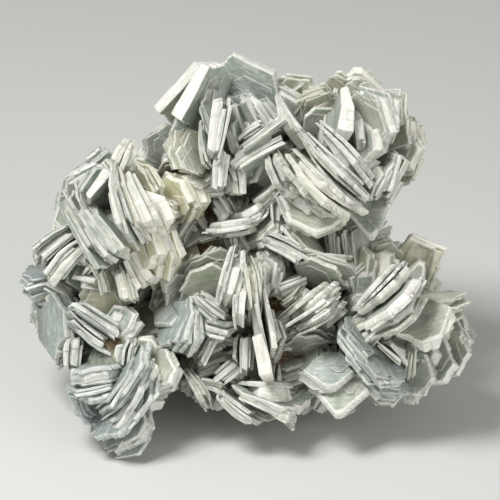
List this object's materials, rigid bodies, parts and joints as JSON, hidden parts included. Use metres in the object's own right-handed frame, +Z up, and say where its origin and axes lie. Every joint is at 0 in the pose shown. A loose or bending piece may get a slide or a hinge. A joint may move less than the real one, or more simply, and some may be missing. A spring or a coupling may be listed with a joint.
{
  "type": "barite crystal cluster",
  "caption": "Mineral specimen: tabular barite blades grown together in fanned books and rosettes on one crust, cut flat below to rest on a surface.",
  "frame": {"origin": "a point on the flat cut underside, near below the centre of mass", "axes": "+X to the right along the cluster's length, +Y from the front with its large rosettes to the back, +Z up from the flat cut underside"},
  "size_m": [0.1147, 0.0847, 0.0896],
  "materials": {
    "barite": "satin"
  },
  "bodies": {
    "root": {"barite_crystals": "barite"}
  },
  "joints": []
}
